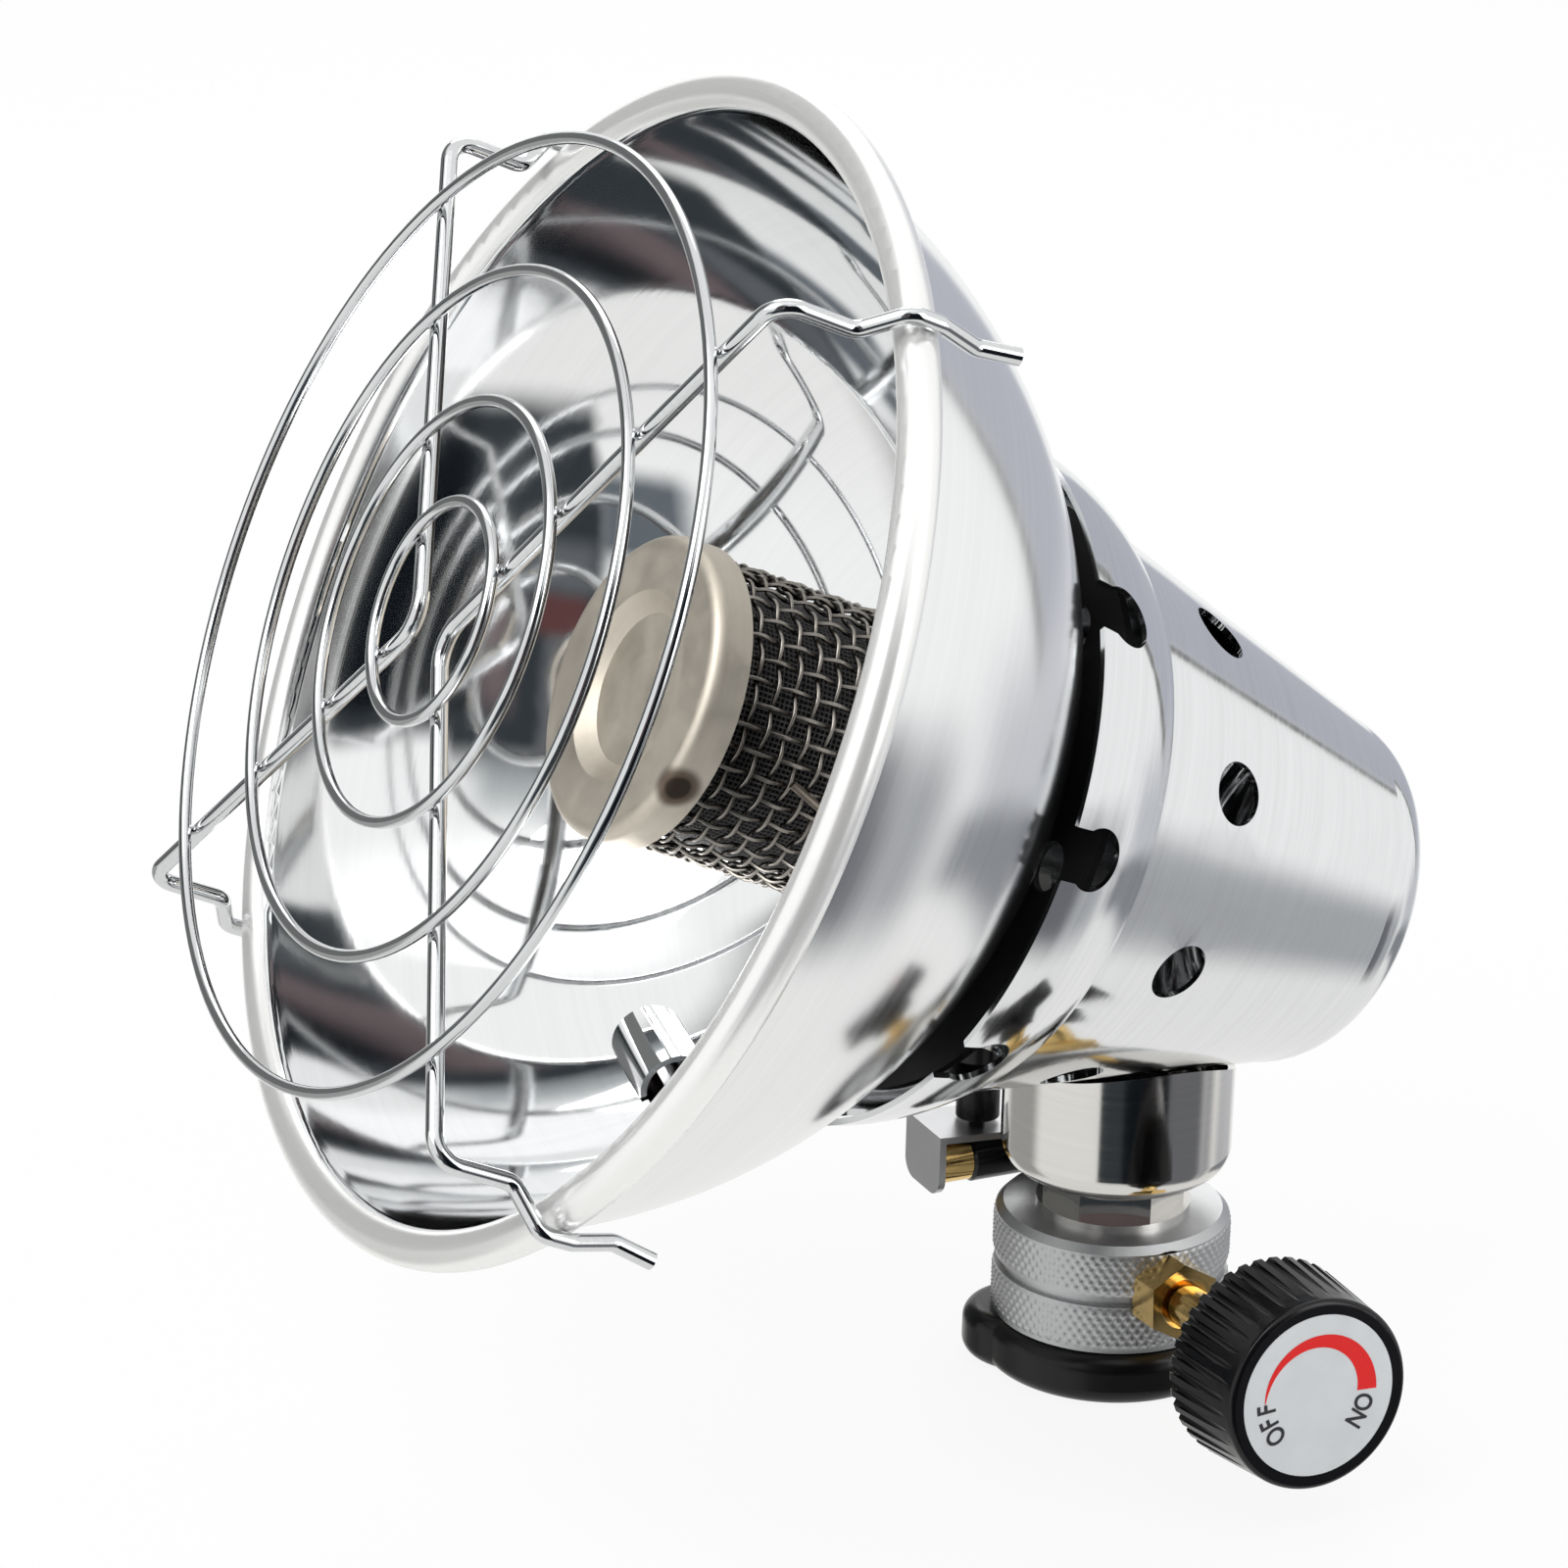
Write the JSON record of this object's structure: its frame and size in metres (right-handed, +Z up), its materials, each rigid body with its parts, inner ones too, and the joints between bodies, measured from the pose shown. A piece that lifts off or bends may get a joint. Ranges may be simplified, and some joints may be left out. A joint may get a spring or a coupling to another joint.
{
  "type": "portable propane heater",
  "caption": "Portable propane radiant heater: polished dish reflector with wire guard and mesh burner, conical rear cover, neck valve with ribbed knob and push igniter.",
  "frame": {"origin": "centre of the cartridge socket's mouth at the bottom of the valve body", "axes": "+Z up along the neck and the socket's axis, -Y the way that the dish faces (level part of its aim), +X towards the valve knob"},
  "size_m": [0.14, 0.1479, 0.1636],
  "materials": {
    "chrome_mirror": "mirror-polished spun aluminium with fine spinning lines",
    "chrome_wire": "bright chrome-plated wire",
    "burner_steel": "warm beige-grey satin steel, slightly heat-tinted",
    "mesh_steel": "coarse woven stainless mesh",
    "mesh_dark": "fine dark mesh",
    "zinc_steel": "bright zinc-plated steel",
    "black_steel": "heat-resistant black paint",
    "polished_steel": "polished steel with circumferential brush lines",
    "nickel_plate": "bright nickel plate",
    "matte_aluminium": "matte cast and turned aluminium with knurled bands",
    "brass": "turned brass",
    "black_rubber": "soft black rubber",
    "black_plastic": "matte black plastic",
    "grey_plastic": "light-grey printed plastic",
    "satin_steel": "satin sheet steel",
    "white_ceramic": "glazed white ceramic"
  },
  "bodies": {
    "heater": {"reflector": "chrome_mirror", "bowl_hood": "chrome_mirror", "guard_ring_outer": "chrome_wire", "guard_ring_second": "chrome_wire", "guard_ring_third": "chrome_wire", "guard_ring_inner": "chrome_wire", "guard_wire_left": "chrome_wire", "guard_wire_right": "chrome_wire", "burner_cap": "burner_steel", "burner_mesh_outer": "mesh_steel", "burner_mesh_inner": "mesh_dark", "burner_base": "mesh_steel", "burner_screws": "zinc_steel", "burner_nuts": "zinc_steel", "heat_shield": "black_steel", "rear_cover": "polished_steel", "mixing_tube": "zinc_steel", "collar": "nickel_plate", "neck_nut": "nickel_plate", "neck_stem": "nickel_plate", "jet_holder": "brass", "gas_jet": "brass", "valve_body": "matte_aluminium", "opening_pin": "brass", "socket_seal": "black_rubber", "cartridge_seat": "black_rubber", "gland_nut": "brass", "spindle_seal": "black_rubber", "igniter_bracket": "satin_steel", "igniter_body": "black_plastic", "igniter_ferrule": "brass", "igniter_spring": "zinc_steel", "lead_sleeve": "black_rubber", "igniter_lead": "black_rubber", "electrode_ceramic": "white_ceramic", "electrode_wire": "zinc_steel"},
    "knob_and_spindle": {"knob": "black_plastic", "knob_label": "grey_plastic", "knob_screw": "zinc_steel", "valve_spindle": "brass"},
    "igniter_push": {"igniter_button": "black_plastic"}
  },
  "joints": [
    {"name": "valve_turn", "type": "hinge", "parent": "heater", "child": "knob_and_spindle", "pos_m": [0, 0, 0.0123], "axis": [0.9976, 0, 0.0698], "range_deg": [-105, 105]},
    {"name": "igniter_press", "type": "slide", "parent": "heater", "child": "igniter_push", "axis": [0, -1, 0], "range_m": [0, 0.003], "stiffness_N_per_m": 2500, "springref_m": -0.0008}
  ]
}
